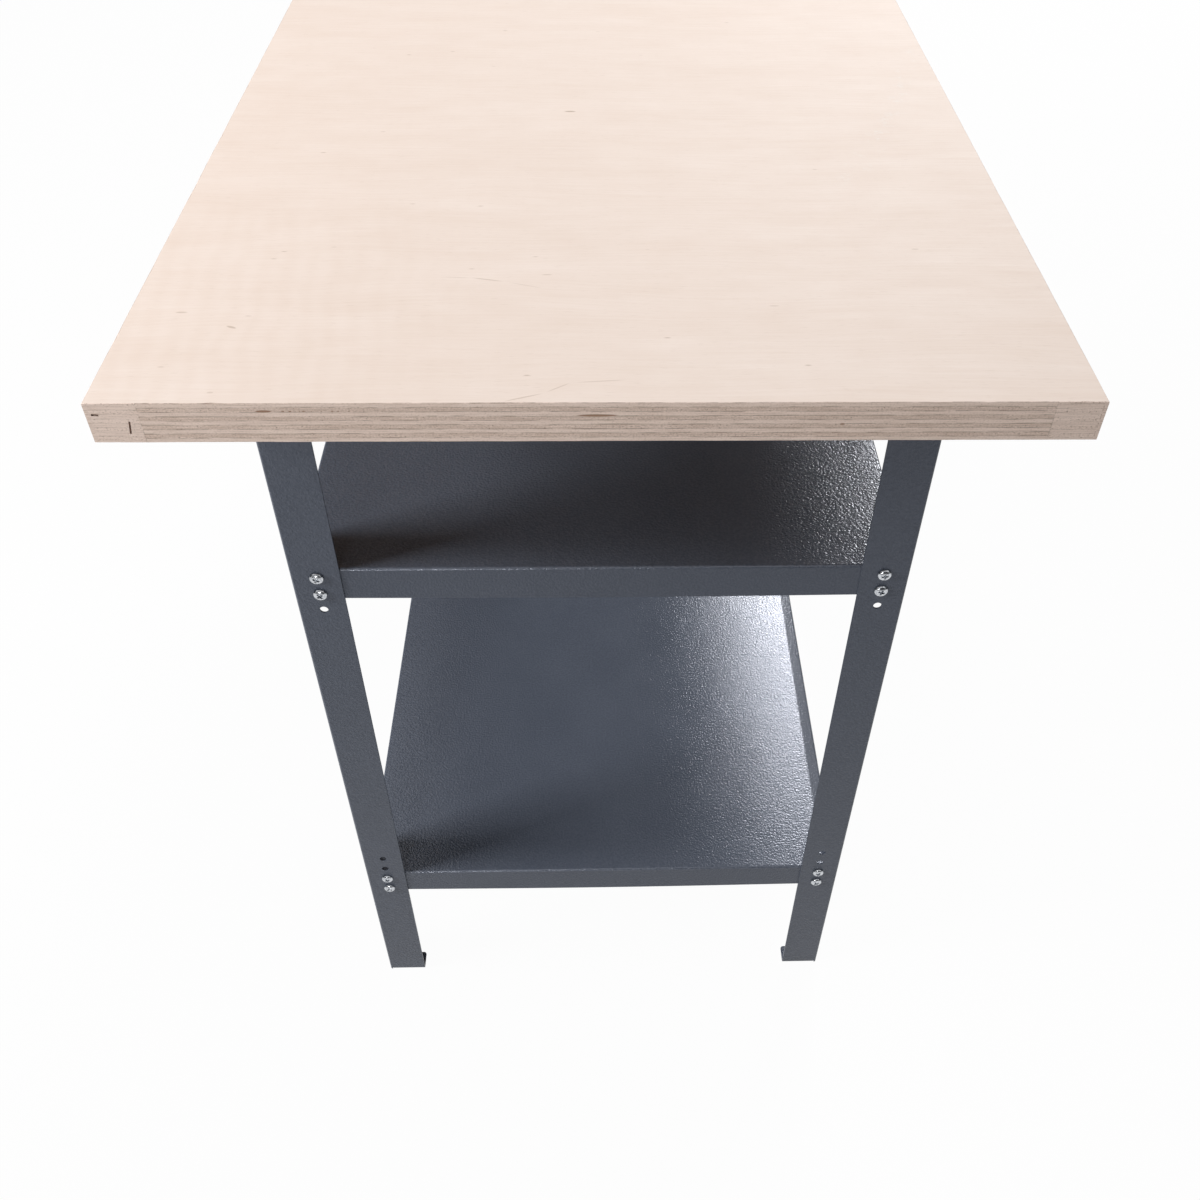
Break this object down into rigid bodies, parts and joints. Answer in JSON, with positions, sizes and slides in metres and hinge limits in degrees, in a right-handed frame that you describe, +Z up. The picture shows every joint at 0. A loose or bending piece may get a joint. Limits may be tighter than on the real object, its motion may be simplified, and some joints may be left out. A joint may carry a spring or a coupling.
{
  "type": "assembly table",
  "caption": "Workshop assembly table: a thick plywood worktop on folded steel angle legs, with two sheet steel tray shelves screwed between the legs.",
  "frame": {"origin": "centre of the footprint, on the floor", "axes": "+X across the width, to the right when facing the near end; +Y along the length, away from the near end; +Z up"},
  "size_m": [0.65, 1.5, 0.85],
  "materials": {
    "plywood": "bare sanded light plywood with a plain cut edge",
    "hammered_paint": "semi-gloss blue-grey hammered paint with an orange-peel surface",
    "zinc_plating": "bright zinc plating"
  },
  "bodies": {
    "root": {"worktop": "plywood", "upper_shelf": "hammered_paint", "lower_shelf": "hammered_paint", "leg_front_left": "hammered_paint", "shelf_screw_upper_front_left_1": "zinc_plating", "shelf_nut_upper_front_left_1": "zinc_plating", "shelf_screw_upper_front_left_2": "zinc_plating", "shelf_nut_upper_front_left_2": "zinc_plating", "shelf_screw_lower_front_left_1": "zinc_plating", "shelf_nut_lower_front_left_1": "zinc_plating", "shelf_screw_lower_front_left_2": "zinc_plating", "shelf_nut_lower_front_left_2": "zinc_plating", "top_screw_front_left_1": "zinc_plating", "top_screw_front_left_2": "zinc_plating", "leg_front_right": "hammered_paint", "shelf_screw_upper_front_right_1": "zinc_plating", "shelf_nut_upper_front_right_1": "zinc_plating", "shelf_screw_upper_front_right_2": "zinc_plating", "shelf_nut_upper_front_right_2": "zinc_plating", "shelf_screw_lower_front_right_1": "zinc_plating", "shelf_nut_lower_front_right_1": "zinc_plating", "shelf_screw_lower_front_right_2": "zinc_plating", "shelf_nut_lower_front_right_2": "zinc_plating", "top_screw_front_right_1": "zinc_plating", "top_screw_front_right_2": "zinc_plating", "leg_back_left": "hammered_paint", "shelf_screw_upper_back_left_1": "zinc_plating", "shelf_nut_upper_back_left_1": "zinc_plating", "shelf_screw_upper_back_left_2": "zinc_plating", "shelf_nut_upper_back_left_2": "zinc_plating", "shelf_screw_lower_back_left_1": "zinc_plating", "shelf_nut_lower_back_left_1": "zinc_plating", "shelf_screw_lower_back_left_2": "zinc_plating", "shelf_nut_lower_back_left_2": "zinc_plating", "top_screw_back_left_1": "zinc_plating", "top_screw_back_left_2": "zinc_plating", "leg_back_right": "hammered_paint", "shelf_screw_upper_back_right_1": "zinc_plating", "shelf_nut_upper_back_right_1": "zinc_plating", "shelf_screw_upper_back_right_2": "zinc_plating", "shelf_nut_upper_back_right_2": "zinc_plating", "shelf_screw_lower_back_right_1": "zinc_plating", "shelf_nut_lower_back_right_1": "zinc_plating", "shelf_screw_lower_back_right_2": "zinc_plating", "shelf_nut_lower_back_right_2": "zinc_plating", "top_screw_back_right_1": "zinc_plating", "top_screw_back_right_2": "zinc_plating"}
  },
  "joints": []
}
